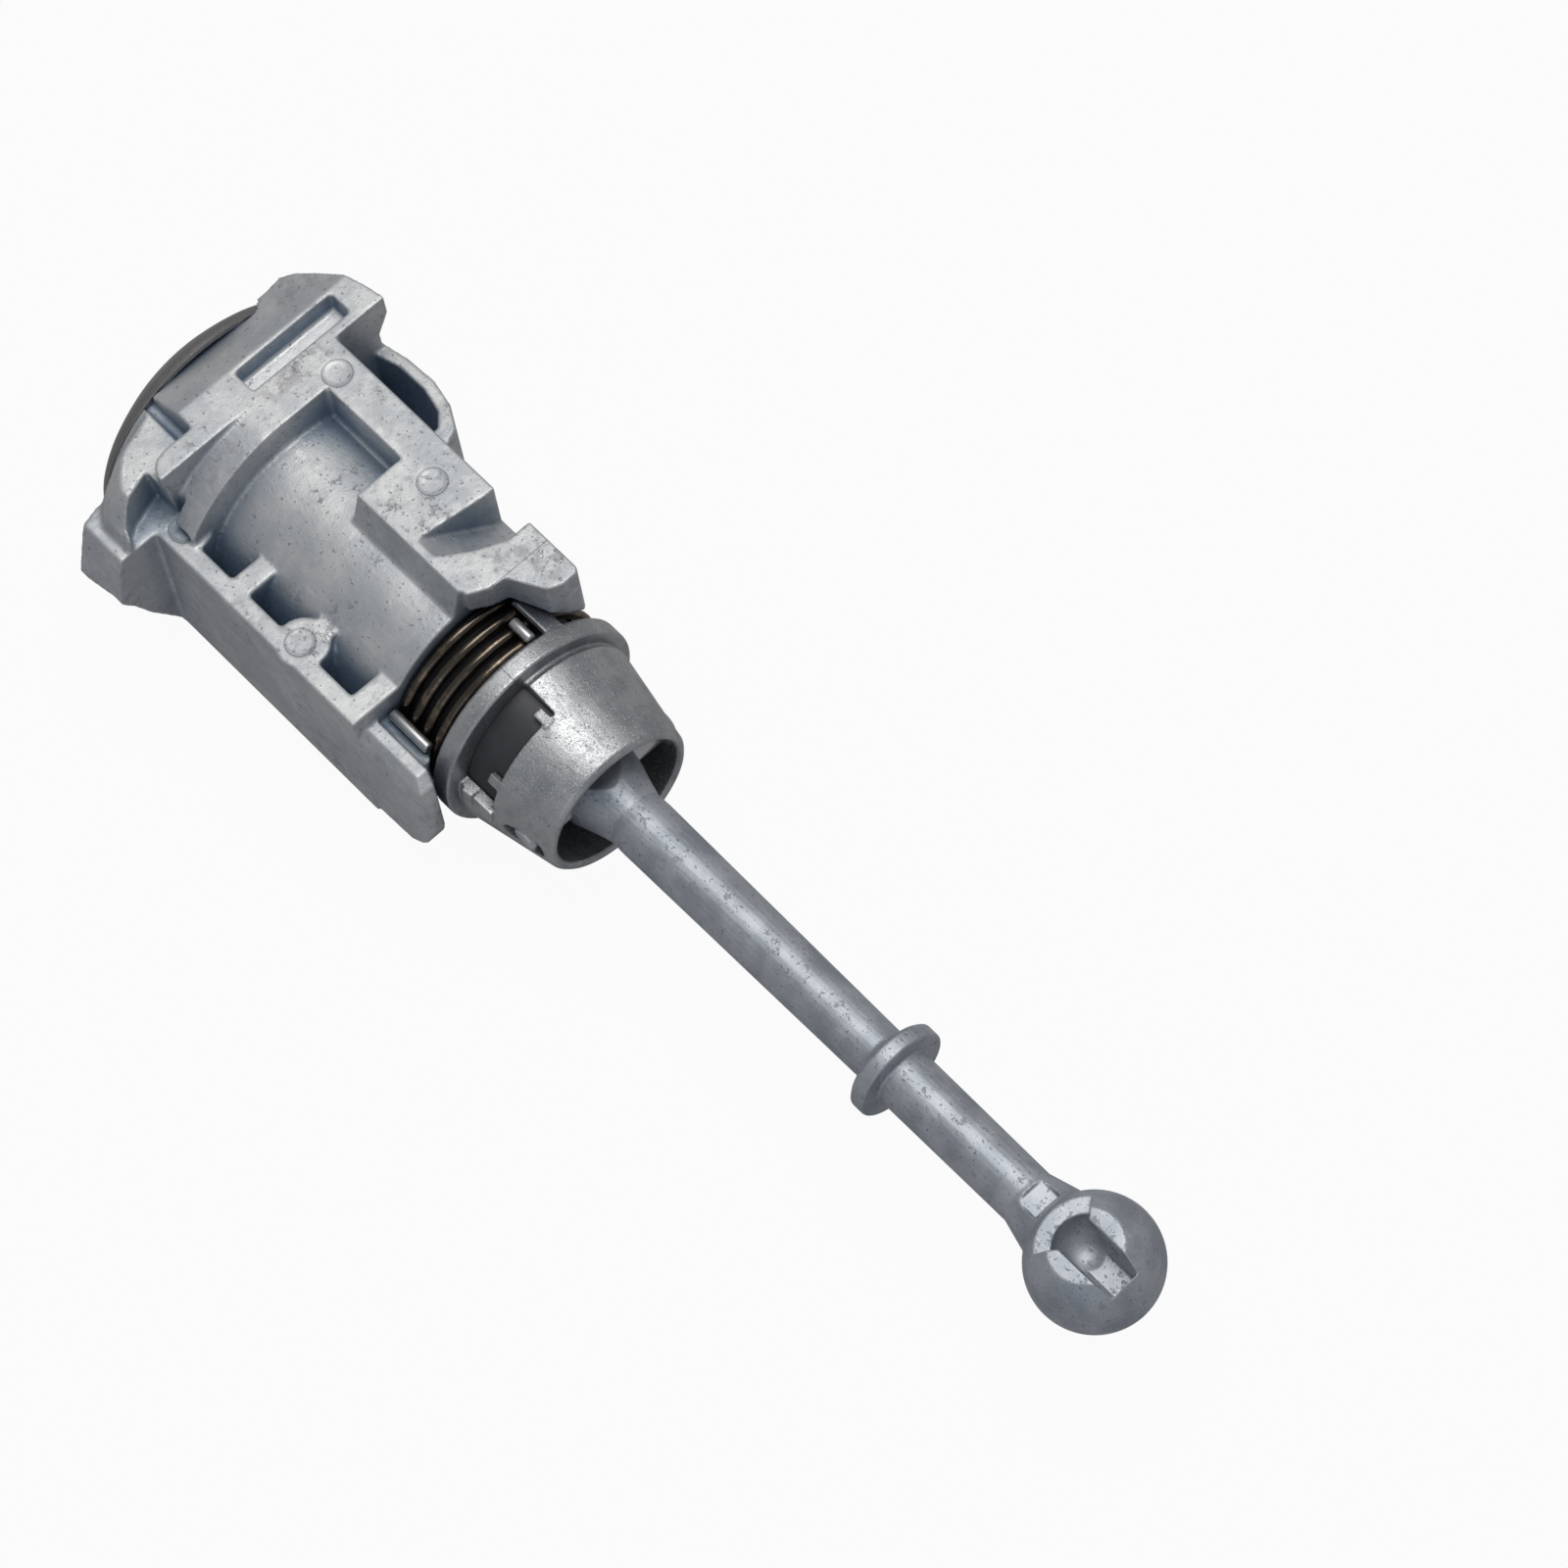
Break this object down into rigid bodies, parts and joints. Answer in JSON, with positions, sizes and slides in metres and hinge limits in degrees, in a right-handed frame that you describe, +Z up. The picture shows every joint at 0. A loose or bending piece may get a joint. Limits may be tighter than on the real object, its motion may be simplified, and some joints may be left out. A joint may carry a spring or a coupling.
{
  "type": "car door lock cylinder",
  "caption": "Die-cast car door lock cylinder: a keyed core turns a sprung coupling cup, whose hinged tail rod with a slotted ball end works the door latch.",
  "frame": {"origin": "on the barrel's axis, at the outermost plane of the face cap", "axes": "+X along the barrel's axis from the face to the ball end, +Z up out of the open side of the casting"},
  "size_m": [0.1483, 0.0407, 0.0335],
  "materials": {
    "zinc_casting": "satin bare zinc die-casting",
    "cap_metal": "drawn cap, satin grey plating",
    "core_zinc": "machined zinc casting",
    "bright_steel": "bright steel",
    "spring_steel": "spring wire and clips",
    "dark_spring": "oiled dark spring wire with bronze glints",
    "black_plastic": "moulded black plastic",
    "cup_zinc": "duller satin zinc die-casting",
    "rod_plating": "bright bluish zinc plating",
    "brass": "stamped brass"
  },
  "bodies": {
    "housing": {"lock_housing": "zinc_casting", "face_cap": "cap_metal", "snap_ring": "spring_steel", "return_spring": "dark_spring"},
    "core": {"core_sleeve": "core_zinc", "plug": "core_zinc", "keyhole_plate": "bright_steel", "shutter_pin": "bright_steel", "shutter_spring": "spring_steel", "plug_clip": "spring_steel", "clutch_spring": "spring_steel", "wafer_spring_1": "spring_steel", "wafer_spring_2": "spring_steel", "wafer_spring_3": "spring_steel", "wafer_spring_4": "spring_steel", "wafer_spring_5": "spring_steel", "wafer_spring_6": "spring_steel"},
    "shutter": {"shutter_flap": "bright_steel"},
    "clutch": {"clutch": "core_zinc"},
    "cup": {"coupling_cup": "cup_zinc", "guide_sleeve": "black_plastic"},
    "pin": {"cross_pin": "bright_steel"},
    "rod": {"tail_rod": "rod_plating"},
    "wafer_1": {"wafer_1": "brass"},
    "wafer_2": {"wafer_2": "brass"},
    "wafer_3": {"wafer_3": "brass"},
    "wafer_4": {"wafer_4": "brass"},
    "wafer_5": {"wafer_5": "brass"},
    "wafer_6": {"wafer_6": "brass"}
  },
  "joints": [
    {"name": "cup_turn", "type": "hinge", "parent": "housing", "child": "cup", "pos_m": [0, 0, 0], "axis": [1, 0, 0], "range_deg": [-60, 60], "stiffness_Nm_per_rad": 0.08},
    {"name": "core_turn", "type": "hinge", "parent": "housing", "child": "core", "pos_m": [0, 0, 0], "axis": [1, 0, 0], "range_deg": [-60, 60]},
    {"name": "clutch_slide", "type": "slide", "parent": "core", "child": "clutch", "axis": [1, 0, 0], "range_m": [-0.0018, 0], "stiffness_N_per_m": 600, "springref_m": 0.002, "deforming": ["clutch_spring"]},
    {"name": "shutter_swing", "type": "hinge", "parent": "core", "child": "shutter", "pos_m": [0.0029, 0, 0.004], "axis": [0, -1, 0], "range_deg": [0, 90], "stiffness_Nm_per_rad": 0.0008, "springref_deg": -45.84},
    {"name": "pin_swing", "type": "hinge", "parent": "cup", "child": "pin", "pos_m": [0.0656, 0, 0], "axis": [0, 0, 1], "range_deg": [-6, 6]},
    {"name": "rod_tilt", "type": "hinge", "parent": "pin", "child": "rod", "pos_m": [0.0656, 0, 0], "axis": [0, 1, 0], "range_deg": [-8, 8]},
    {"name": "wafer_1_slide", "type": "slide", "parent": "core", "child": "wafer_1", "axis": [0, 0, 1], "range_m": [-0.00085, 0], "stiffness_N_per_m": 150, "springref_m": 0.002, "deforming": ["wafer_spring_1"]},
    {"name": "wafer_2_slide", "type": "slide", "parent": "core", "child": "wafer_2", "axis": [0, 0, 1], "range_m": [-0.00085, 0], "stiffness_N_per_m": 150, "springref_m": 0.002, "deforming": ["wafer_spring_2"]},
    {"name": "wafer_3_slide", "type": "slide", "parent": "core", "child": "wafer_3", "axis": [0, 0, 1], "range_m": [-0.00085, 0], "stiffness_N_per_m": 150, "springref_m": 0.002, "deforming": ["wafer_spring_3"]},
    {"name": "wafer_4_slide", "type": "slide", "parent": "core", "child": "wafer_4", "axis": [0, 0, 1], "range_m": [-0.00085, 0], "stiffness_N_per_m": 150, "springref_m": 0.002, "deforming": ["wafer_spring_4"]},
    {"name": "wafer_5_slide", "type": "slide", "parent": "core", "child": "wafer_5", "axis": [0, 0, 1], "range_m": [-0.00085, 0], "stiffness_N_per_m": 150, "springref_m": 0.002, "deforming": ["wafer_spring_5"]},
    {"name": "wafer_6_slide", "type": "slide", "parent": "core", "child": "wafer_6", "axis": [0, 0, 1], "range_m": [-0.00085, 0], "stiffness_N_per_m": 150, "springref_m": 0.002, "deforming": ["wafer_spring_6"]}
  ],
  "couplings": [
    {"joint": "core_turn", "follows": "cup_turn", "ratio": 1}
  ]
}
